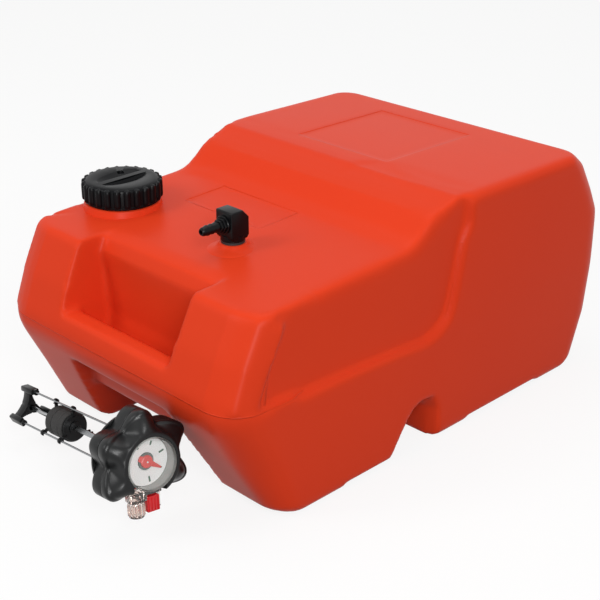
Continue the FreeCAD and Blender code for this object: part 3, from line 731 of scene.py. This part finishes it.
def tank_lining(material):
    """The inner skin, seen through the open neck."""
    bm = skin(False)
    open_rounds(bm, LINING_HOLE, BORES_ABOVE)
    return new_piece("tank_lining", bm, material, "tank", smooth=30.0)


# ------------------------------------------------------------------ neck, port and filler cap
CAP_LOW = 211.0
CAP_TOP = 232.3
NECK_MM = (NECK.x * TO_MM, NECK.y * TO_MM, 0.0)
PORT_MM = (PORT.x * TO_MM, PORT.y * TO_MM, 0.0)


def helix(radius, low, pitch, turns, depth, width, steps=64):
    """A screw thread's ridge as a closed tapering band in mm; a radius below 0 makes an inside thread."""
    rings = []
    n = int(steps * turns)
    for i in range(n + 1):
        a = 2 * math.pi * i / steps
        ease = min(1.0, 6.0 * i / n, 6.0 * (n - i) / n)
        z = low + pitch * i / steps
        rad = Vector((math.cos(a), math.sin(a), 0.0))
        d = depth * max(ease, 0.02)
        section = [(radius - 0.4, -width), (radius + d, -width * 0.35), (radius + d, width * 0.35),
                   (radius - 0.4, width)]
        rings.append([rad * r + Vector((0, 0, z + h)) for r, h in section])
    return swept(rings)


def tank_neck(material):
    """Filler neck with its thread and the round foot it stands on."""
    profile = [(26.0, 196.0), (26.0, 224.6), (27.0, 225.6), (29.0, 225.6), (30.0, 224.6), (30.0, 212.2),
               (31.2, 210.9), (36.6, 210.2), (37.6, 209.6), (38.3, 208.0), (38.9, 204.0), (40.2, 200.4),
               (40.4, 197.0)]
    body = joined(lathe(profile, 128), helix(29.9, 214.0, 3.4, 2.4, 0.75, 1.1))
    return new_piece("tank_neck", placed(body, at_mm(*NECK_MM)), material, "tank")


def outlet_boss(material):
    """Low round boss that the hose outlet stands on."""
    profile = [(8.5, 197.0), (8.5, 209.7), (9.0, 210.2), (12.4, 210.2), (13.1, 209.7), (13.7, 208.5),
               (14.9, 207.1), (17.0, 205.9), (20.0, 204.9), (24.0, 203.8), (26.0, 202.6), (26.0, 199.0)]
    body = placed(lathe(profile, 96), at_mm(*PORT_MM))
    return new_piece("outlet_boss", body, material, "tank")


def cap_scoop(side):
    """One finger hollow beside the grip bar: steep at the bar, shallow towards the rim."""
    near = 3.4
    over = CAP_TOP + 4.0
    rows = []
    for i in range(25):
        t = i / 24.0
        y = -27.0 + 54.0 * t
        depth = 4.8 * math.sin(math.pi * t) ** 0.6 + 0.02
        wide = 13.5 * math.sin(math.pi * t) ** 0.45 + 0.3
        row = []
        for k in range(13):
            u = k / 12.0
            x = near + 0.9 * u + (wide - 0.9) * u
            fall = depth * (1.0 - u ** 1.6) * min(1.0, 0.35 + 4.0 * u)
            row.append((side * x, y, CAP_TOP - fall))
        rows.append(row + [(side * (near + wide), y, over), (side * near, y, over)])
    return swept(rows)


def filler_cap(material):
    """Screw cap: 24 ribs round it, a grip bar between two finger hollows and a small round dimple."""
    top = CAP_TOP
    profile = [(0, top - 6.4), (29.4, top - 6.4), (30.8, top - 7.4), (30.8, CAP_LOW + 0.6),
               (31.4, CAP_LOW), (37.0, CAP_LOW), (37.9, CAP_LOW + 0.8), (37.9, CAP_LOW + 2.4),
               (37.2, CAP_LOW + 3.0), (37.2, top - 4.0), (36.7, top - 2.2), (35.6, top - 1.0),
               (33.8, top - 0.3), (32.0, top), (0, top)]
    dot = lathe([(0, top - 2.2), (3.4, top - 2.2), (3.8, top + 1.0), (0, top + 1.0)], 24)
    placed(dot, Matrix.Translation((-14.0, 9.4, 0.0)))
    core = less(lathe(profile, 128), cap_scoop(1), cap_scoop(-1), dot)
    sizes = {"Count": 24, "Circle": 36.2, "Low": CAP_LOW + 1.0, "High": top - 0.4, "Bar": 3.7, "Blunt": 8.0}
    ribs = ring_of_bars("cap ribs", sizes, material)
    thread = helix(-30.9, CAP_LOW + 3.0, 3.4, 2.0, 0.6, 1.0)
    whole = joined(core, ribs, thread)
    return new_piece("filler_cap_dressed", placed(whole, at_mm(*NECK_MM)), material, "cap",
                     ["filler_cap"])


# ------------------------------------------------------------------ hose outlet
ELBOW_FOOT = 212.4
ELBOW_TOP = 242.2
ELBOW_HALF = 10.5
BARB_Z = 229.4
BARB_TIP = -184.0


def hose_elbow(material):
    """Square block with a chamfered brow on a round foot, and the spigot that goes into the boss."""
    h = ELBOW_HALF
    side = rounded([(-h, 217.5), (-h, ELBOW_TOP), (h - 7.0, ELBOW_TOP), (h, ELBOW_TOP - 7.5), (h, 217.5),
                    (h - 2.4, 214.6), (-h + 2.4, 214.6)], 1.6, 4)
    stand = Matrix(((0, 0, 1, 0), (1, 0, 0, 0), (0, 1, 0, 0), (0, 0, 0, 1)))
    block = placed(bevelled(prism(side, -11.0, 11.0), 1.5, 3, 50.0), stand)
    foot = lathe([(0, ELBOW_FOOT), (11.0, ELBOW_FOOT), (11.5, ELBOW_FOOT + 0.5), (11.5, 218.0),
                  (0, 218.0)], 64)
    spigot = lathe([(0, 193.0), (7.6, 193.0), (8.4, 194.0), (8.4, 213.5), (0, 213.5)], 48)
    whole = joined(block, foot, spigot)
    return new_piece("hose_elbow", placed(whole, at_mm(*PORT_MM)), material, "tank",
                     ["outlet_elbow"])


def barb(material):
    """Hexagon, collar and three-crested barb, turned about the hose's line."""
    hexa = [(7.6 * math.cos(math.pi * i / 3), 7.6 * math.sin(math.pi * i / 3)) for i in range(6)]
    nuts = [bevelled(prism([(x * share, y * share) for x, y in hexa], low, high), 0.4, 2)
            for share, low, high in ((1.0, 1.6, 4.6), (0.86, 5.2, 7.6))]
    start = PORT_MM[1] - ELBOW_HALF
    length = start - BARB_TIP
    profile = [(2.2, -6.0), (5.0, -6.0), (8.7, -0.2), (8.7, 1.6), (8.2, 2.1), (5.4, 2.3), (5.0, 6.0),
               (4.0, 7.8)]
    for k in range(3):
        z = 9.6 + 5.0 * k
        profile += [(4.0, z), (5.0, z + 0.5), (5.0, z + 1.1), (4.1, z + 4.4)]
    profile += [(4.0, length - 1.5), (3.4, length - 0.6), (3.0, length), (2.2, length)]
    place = at_mm(PORT_MM[0], start, BARB_Z) @ Matrix.Rotation(math.radians(90.0), 4, "X")
    whole = joined(*nuts, lathe(profile, 64))
    return new_piece("hose_barb_dressed", placed(whole, place), material, "tank",
                     ["hose_barb"])


# ------------------------------------------------------------------ gauge
JOINTS = {j["name"]: j for j in frame["joints"]}
# sizes in mm and turns in degrees in the gauge's own axes, whose origin is the middle of its window
ROLL = -5.0
WINDOW_R = 23.8
WINDOW_DEEP = 17.5
DIAL_Z = -12.5
DIAL_R = 21.9
KNOB_TIP = 46.0
KNOB_ROOT = 34.5
RING_R = 28.4
PART_Z = -20.5
PART_GAP = 0.6
KNOB_BACK = -37.0
RIM_R = 37.5
LOBES = (-30.0, 30.0, 90.0, 150.0, 210.0)
RIM_FOOT = KNOB_BACK - 3.0
THIRDS = (90.0, 210.0, 330.0)
FLOAT_MID = -148.0
FLOAT_R = 14.2
FLOAT_H = 29.0
CLIP_HIGH = 2.4
ROD_CIRCLE = 17.9
ROD_R = 0.95
GAUGE_LEN = 225.0
BITE_R = 30.0
BITE_AT = 36.0
VENT_MM = (-11.5, -34.5, -14.5)
VENT_R = 7.8
VENT_DEEP = 13.5
PRONG_X = 9.3


def gauge_frame():
    """The gauge's own axes in mm: +Z out of its window, origin at the window's centre."""
    turn = JOINTS["pointer_turn"]
    out = Vector(turn["axis"]).normalized()
    level = Vector((-out.y, out.x, 0.0)).normalized()
    up = out.cross(level)
    m = Matrix((level, up, out)).transposed().to_4x4()
    m.translation = Vector(turn["pos_m"]) - out * (DIAL_Z * MM)
    return m @ Matrix.Rotation(math.radians(ROLL), 4, "Z") @ Matrix.Scale(MM, 4)


GAUGE = gauge_frame()


def on_gauge(name, bm, material, replaced=(), body="gauge", smooth=35.0):
    """A piece drawn in the gauge's own axes, set in its place."""
    return new_piece(name, placed(bm, GAUGE), material, body, replaced, smooth)


def lobe(angle):
    """1 at the tip of a grip, 0 in the hollow between two grips and over the vent."""
    near = min(abs((angle - a + 180.0) % 360.0 - 180.0) for a in LOBES)
    return (0.5 + 0.5 * math.cos(math.radians(6.0 * near))) ** 0.85 if near < 30.0 else 0.0


def knob_front_section(a):
    """(radius, height) points round the front half of the knob where the grip's strength is a."""
    tip = KNOB_ROOT + (KNOB_TIP - KNOB_ROOT) * a
    edge = 4.2 * a + 1.6 * (1 - a)
    fall = 7.5 * a + 17.0 * (1 - a)
    bore = WINDOW_R + 0.4
    pts = [(bore, -WINDOW_DEEP), (bore, -2.4), (bore + 0.3, -1.5), (bore + 1.0, -1.2), (RING_R - 0.8, -1.2),
           (RING_R, -1.7)]
    inner = RING_R + 0.25
    outer = tip - edge
    for i in range(1, 13):
        t = i / 12
        lobe_z = t ** 1.8
        dip_z = 1.0 - (1.0 - t) ** 2.2
        z = -1.9 - fall * (lobe_z * a + dip_z * (1 - a))
        pts.append((inner + (outer - inner) * t, z))
    z0 = pts[-1][1]
    for i in range(1, 6):
        t = i / 5 * math.pi / 2
        pts.append((outer + edge * math.sin(t), z0 - edge * (1 - math.cos(t))))
    low = PART_Z - 3.0 * (1 - a) + PART_GAP / 2
    pts += [(tip, low + 0.5), (tip - 0.15, low + 0.12), (tip - 0.5, low), (31.0, low), (30.0, -16.5),
            (29.0, -14.5)]
    return pts


def knob_rear_section(a):
    """(radius, height) points round the rear half of the knob, down to the rim it stands on."""
    tip = KNOB_ROOT + (KNOB_TIP - KNOB_ROOT) * a
    high = PART_Z - 3.0 * (1 - a) - PART_GAP / 2
    edge = 3.2 * a + 0.8
    pts = [(31.0, high), (tip - 0.5, high), (tip - 0.15, high - 0.12), (tip, high - 0.5)]
    for i in range(6):
        t = i / 5 * math.pi / 2
        pts.append((tip - edge * (1 - math.cos(t)), KNOB_BACK + edge - edge * math.sin(t)))
    reach = min(tip - edge, RIM_R - 0.2)
    pts += [(reach, KNOB_BACK), (RIM_R - 0.15, KNOB_BACK - 0.1), (RIM_R, KNOB_BACK - 0.5),
            (RIM_R, KNOB_BACK - 2.3), (RIM_R - 0.3, KNOB_BACK - 2.8), (RIM_R - 0.9, RIM_FOOT),
            (31.8, RIM_FOOT), (31.0, KNOB_BACK - 2.4)]
    return pts


def lobed_form(section, steps=300):
    """Sweeps a section that changes with the angle once round the axis."""
    rows = []
    for i in range(steps):
        angle = 360.0 * i / steps
        a = math.radians(angle)
        rows.append([(r * math.cos(a), r * math.sin(a), z) for r, z in section(lobe(angle))])
    return swept(rows, round_again=True)


def knob_front(material):
    """Front half of the knob, with the notch that the vent stands in."""
    left = VENT_MM[0] - VENT_R - 0.6
    right = PRONG_X + 3.0
    notch = bevelled(prism([(left, -60.0), (right, -60.0), (right, -12.0), (left, -12.0)],
                           VENT_MM[2] - 7.0, 5.0), 1.5, 3)
    body = less(lobed_form(knob_front_section), notch)
    return on_gauge("knob_front", body, material, ["gauge_knob_front"])


def knob_rear(material):
    """Rear half of the knob."""
    return on_gauge("knob_rear", lobed_form(knob_rear_section), material, ["gauge_knob_rear"])


def window_capsule(material, wall):
    """Clear cup over the dial; its upright wall takes a greyer, less clear copy of the same plastic, a
    painted reflection standing in for the light its edge-on wall reflects and bends.
    """
    r = WINDOW_R
    profile = [(r - 1.6, -WINDOW_DEEP), (r, -WINDOW_DEEP), (r, -1.0), (r - 0.3, -0.3), (r - 1.0, 0.0),
               (0, 0.0), (0, -2.0), (r - 2.2, -2.0), (r - 1.6, -2.6)]
    body = lathe(profile, 128)
    # upright faces get the wall's copy, whose grey is painted reflection, not a tint of the plastic
    for f in body.faces:
        f.material_index = 1 if abs(f.normal.z) < 0.5 else 0
    whole = on_gauge("window_capsule", body, material, ["lens_capsule"])
    whole.data.materials.append(wall)
    return whole


def dial_plate(material):
    """White ring round the magnet's hole, with a softened rim."""
    r = DIAL_R
    profile = [(8.0, DIAL_Z - 1.0), (r, DIAL_Z - 1.0), (r, DIAL_Z - 0.2), (r - 0.2, DIAL_Z), (8.0, DIAL_Z)]
    return on_gauge("dial_plate", lathe(profile, 96), material, ["dial_face"])


def scale_marks(material):
    """Five plain marks of the fuel scale, 50 degrees apart, printed on the dial."""
    parts = []
    for k in range(5):
        end = 14.2 + (5.2 if k % 2 == 0 else 4.0)
        bar = prism([(14.2, -0.85), (end, -0.85), (end, 0.85), (14.2, 0.85)], DIAL_Z, DIAL_Z + 0.08)
        parts.append(turned(bar, 118.0 - 50.0 * k))
    return on_gauge("scale_marks", joined(*parts), material, smooth=0)


def pointer_hand(material):
    """Flat red hand with a broad hub and a short round tail, its tip beside the lowest mark but one."""
    low = DIAL_Z + 0.6
    hub = lathe([(0.9, low), (5.4, low), (5.8, low + 0.4), (5.6, low + 1.6), (4.8, low + 2.2),
                 (0.9, low + 2.2)], 48)
    arm = [(-8.6, -2.6), (0, -3.2), (15.8, -0.9), (16.8, 0), (15.8, 0.9), (0, 3.2), (-8.6, 2.6)]
    hand = bevelled(prism(rounded(arm, 1.5, 3), low, low + 1.3), 0.25, 2, 50.0)
    return on_gauge("pointer_hand", turned(joined(hub, hand), -32.0), material, ["pointer"],
                    body="indicator_pointer")


def float_drum(material):
    """Foam drum with a groove round its middle and a shallow step before its front end."""
    z0 = FLOAT_MID - FLOAT_H / 2
    z1 = FLOAT_MID + FLOAT_H / 2
    r = FLOAT_R
    m = FLOAT_MID - 4.3
    profile = [(3.5, z0), (r - 0.8, z0), (r - 0.15, z0 + 0.5), (r, z0 + 1.2), (r, m - 1.6),
               (r - 0.3, m - 0.9), (r - 1.0, m - 0.6), (r - 1.0, m + 0.6), (r - 0.3, m + 0.9),
               (r, m + 1.6), (r, z1 - 7.4),
               (r - 0.5, z1 - 6.9), (r - 0.5, z1 - 6.1), (r, z1 - 5.6), (r, z1 - 1.0),
               (r - 0.15, z1 - 0.4), (r - 0.7, z1), (3.5, z1)]
    return on_gauge("float_drum", lathe(profile, 72), material, ["float_body"], body="float")


def hook(angle, low, high, outer, gap):
    """Open ring that snaps over a rod, its mouth turned outward."""
    inner = ROD_R + 0.06
    mouth = math.radians(gap)
    start = math.radians(38.0)
    pts = []
    for r, way in ((outer, 1), (inner, -1)):
        turn = [start + mouth + (2 * math.pi - mouth) * i / 20.0 for i in range(21)][::way]
        pts += [(ROD_CIRCLE + r * math.cos(a), r * math.sin(a)) for a in turn]
    return turned(prism(pts, low, high), angle)


def end_bracket(material):
    """Three-armed end plate: concave edges, and a long pad on each tip that holds its rod in a hook."""
    z0 = -GAUGE_LEN
    tip = ROD_CIRCLE + 2.6
    pts = []
    for third in THIRDS:
        for s in range(25):
            lean = 5.0 * s - 60.0
            a = math.radians(third + lean)
            bite = math.radians(60.0 - abs(lean))
            chord = BITE_R ** 2 - (BITE_AT * math.sin(bite)) ** 2
            dip = BITE_AT * math.cos(bite) - math.sqrt(max(chord, 0.0))
            across = 4.6 / max(abs(math.sin(math.radians(lean))), 0.22)
            pts.append((min(dip, across, tip - 0.6) if dip > 0 else tip - 0.6, a))
    outline = [(r * math.cos(a), r * math.sin(a)) for r, a in pts]
    clean = [p for i, p in enumerate(outline) if (Vector(p) - Vector(outline[i - 1])).length > 0.15]
    plate = bevelled(prism(clean, z0 + 0.4, z0 + 11.6), 0.7, 2, 50.0)
    hole = lathe([(0, z0 + 3.0), (2.9, z0 + 3.0), (2.9, z0 + 30.0), (0, z0 + 30.0)], 32)
    parts = [less(plate, hole)]
    for third in THIRDS:
        pad = [(ROD_CIRCLE - 2.8, -4.2), (tip, -4.2), (tip, 4.2), (ROD_CIRCLE - 2.8, 4.2)]
        block = bevelled(prism(rounded(pad, 1.6, 4), z0, z0 + 21.0), 0.7, 2, 50.0)
        parts += [turned(block, third), hook(third, z0 + 20.5, z0 + 24.0, 2.9, 80.0)]
    return on_gauge("rod_end_bracket", joined(*parts), material, ["end_bracket"])


def clip_ring(low):
    """Ring on an end of the float with three arms that end in hooks round the rods."""
    high = low + CLIP_HIGH
    parts = [lathe([(3.5, low), (FLOAT_R - 2.0, low), (FLOAT_R - 1.6, low + 0.4),
                    (FLOAT_R - 1.6, high - 0.4), (FLOAT_R - 2.0, high), (3.5, high)], 64)]
    for third in THIRDS:
        arm = [(FLOAT_R - 4.0, -1.7), (ROD_CIRCLE - 1.3, -1.3), (ROD_CIRCLE - 1.3, 1.3),
               (FLOAT_R - 4.0, 1.7)]
        bar = bevelled(prism(arm, low, high), 0.3, 2, 50.0)
        parts += [turned(bar, third), hook(third, low, high, 2.9, 75.0)]
    return joined(*parts)


def clip_rings(material):
    """The two rings that hold the float between the rods."""
    both = joined(clip_ring(FLOAT_MID - FLOAT_H / 2 - CLIP_HIGH), clip_ring(FLOAT_MID + FLOAT_H / 2))
    return on_gauge("clip_rings", both, material, ["float_clips"], body="float")


# ------------------------------------------------------------------ vent
def vent_barrel(material):
    """Clear screw of the air vent with finger flutes."""
    d = VENT_DEEP
    r = VENT_R
    profile = [(2.6, -5.0), (4.0, -5.0), (4.0, 0.0), (r - 1.0, 0.0), (r - 0.6, 0.6), (r - 0.6, d - 1.4),
               (r - 1.2, d - 0.3), (r - 2.0, d), (0, d), (0, d - 2.0), (2.6, d - 2.0)]
    core = lathe(profile, 72)
    sizes = {"Count": 12, "Circle": r - 1.3, "Low": 0.7, "High": d - 0.8, "Bar": 1.25, "Blunt": 10.0}
    flutes = ring_of_bars("vent flutes", sizes, material)
    down = Matrix.Rotation(math.radians(90.0), 4, "X")
    whole = placed(joined(core, flutes), Matrix.Translation(VENT_MM) @ down)
    return on_gauge("vent_barrel", whole, material, ["vent_screw"], body="vent")


def vent_saddle(material):
    """Clear housing of the vent: plate through the knob's notch and a prong beside the red insert."""
    z0 = VENT_MM[2] - 6.0
    z1 = VENT_MM[2] + 6.0
    left = VENT_MM[0] - VENT_R + 0.6
    right = PRONG_X + 2.2
    plate = bevelled(prism([(left, -34.0), (-3.5, -34.0), (-3.5, -29.2), (right, -29.2), (right, -24.5),
                            (left, -24.5)], z0, z1), 0.8, 3)
    prong = bevelled(prism([(PRONG_X, -43.5), (right, -43.5), (right, -28.0), (PRONG_X, -28.0)],
                           z0 + 3.0, z1 - 3.0), 0.5, 3)
    return on_gauge("vent_saddle", joined(plate, prong), material, ["vent_housing"])


def vent_key(material):
    """Ribbed red insert between the vent screw and the prong."""
    z = VENT_MM[2]
    base = [(-3.3, -45.6), (9.2, -45.6), (9.2, -31.4), (-3.3, -31.4)]
    parts = [bevelled(prism(rounded(base, 1.0, 3), z - 4.2, z + 5.2), 0.5, 2, 50.0)]
    for k in range(4):
        x = -1.6 + 3.1 * k
        rib = [(x - 0.5, -44.8), (x + 0.5, -44.8), (x + 0.5, -32.4), (x - 0.5, -32.4)]
        parts.append(bevelled(prism(rib, z + 5.0, z + 6.0), 0.3, 2, 50.0))
    return on_gauge("vent_key", joined(*parts), material, ["vent_insert"])


# ------------------------------------------------------------------ build
make_camera()
make_studio()
make_floor()
RED = blown_polyethylene()
CAP_BLACK = moulded_plastic("moulded polypropylene", "#0A0B0D", 0.34, 0.6, 0.10, 0.10)
FITTING_BLACK = moulded_plastic("moulded nylon", "#0A0B0D", 0.28, 0.6, 0.08, 0.14)
KNOB_BLACK = moulded_plastic("moulded ABS", "#101112", 0.34, 0.6, 0.12, 0.28)
FRAME_BLACK = moulded_plastic("moulded acetal", "#0E0F10", 0.32, 0.6, 0.06, 0.2)
FLOAT_BLACK = foam("nitrile float foam", "#161413")
RUBBER = moulded_plastic("nitrile rubber", "#101011", 0.7, 0.5, 0.2)
TUBE = moulded_plastic("natural polyethylene", "#D8D6CC", 0.4, 0.8, 0.05)
CLEAR = clear_plastic("clear polycarbonate", "#F2F4F2", 0.05, 0.94)
# painted reflection: the same clear polycarbonate made greyer and less clear for the capsule's edge-on wall
PAINTED_GREY_WALL = clear_plastic("clear capsule wall with painted reflection", "#C9CCC8", 0.10, 0.42)
CLEAR_VENT = refracting_plastic("clear vent moulding", "#F3E9E4", 0.05)
DIAL_WHITE = moulded_plastic("dial card", "#F7F8F7", 0.5, 0.8, 0.03)
MARK_GREEN = moulded_plastic("dial ink", "#2F5A45", 0.6, 0.8, 0.02)
POINTER_RED = moulded_plastic("pointer lacquer", "#E23A33", 0.4, 0.8, 0.03)
VENT_RED = moulded_plastic("gloss red ABS", "#D8101A", 0.18, 0.8, 0.03)
MAGNET = moulded_plastic("ferrite", "#5F6F69", 0.6, 0.5, 0.15)
ROD = bright_steel("drawn steel wire", "#8C8E90", 0.30, 1.2)
STRIP = bright_steel("rolled steel strip", "#9A9C9E", 0.24, 1.5)

tank_shell(RED)
tank_lining(RED)
tank_neck(RED)
outlet_boss(RED)
filler_cap(CAP_BLACK)
hose_elbow(FITTING_BLACK)
barb(FITTING_BLACK)
knob_front(KNOB_BLACK)
knob_rear(KNOB_BLACK)
window_capsule(CLEAR, PAINTED_GREY_WALL)
dial_plate(DIAL_WHITE)
scale_marks(MARK_GREEN)
pointer_hand(POINTER_RED)
float_drum(FLOAT_BLACK)
end_bracket(FRAME_BLACK)
clip_rings(FRAME_BLACK)
vent_barrel(CLEAR_VENT)
vent_saddle(CLEAR_VENT)
vent_key(VENT_RED)

DRESSED = {
    "cap_gasket": RUBBER, "elbow_seal": RUBBER, "gauge_gasket": RUBBER,
    "pickup_tube": TUBE, "pickup_strainer": FITTING_BLACK,
    "gauge_knob_core": KNOB_BLACK, "gauge_plug": FRAME_BLACK,
    "dial_carrier": DIAL_WHITE, "pointer_magnet": MAGNET, "drive_magnet": MAGNET,
    "guide_rods": ROD, "twisted_strip": STRIP,
    "float_guide": FRAME_BLACK,
}
for node, finish in DRESSED.items():
    dress(node, finish)
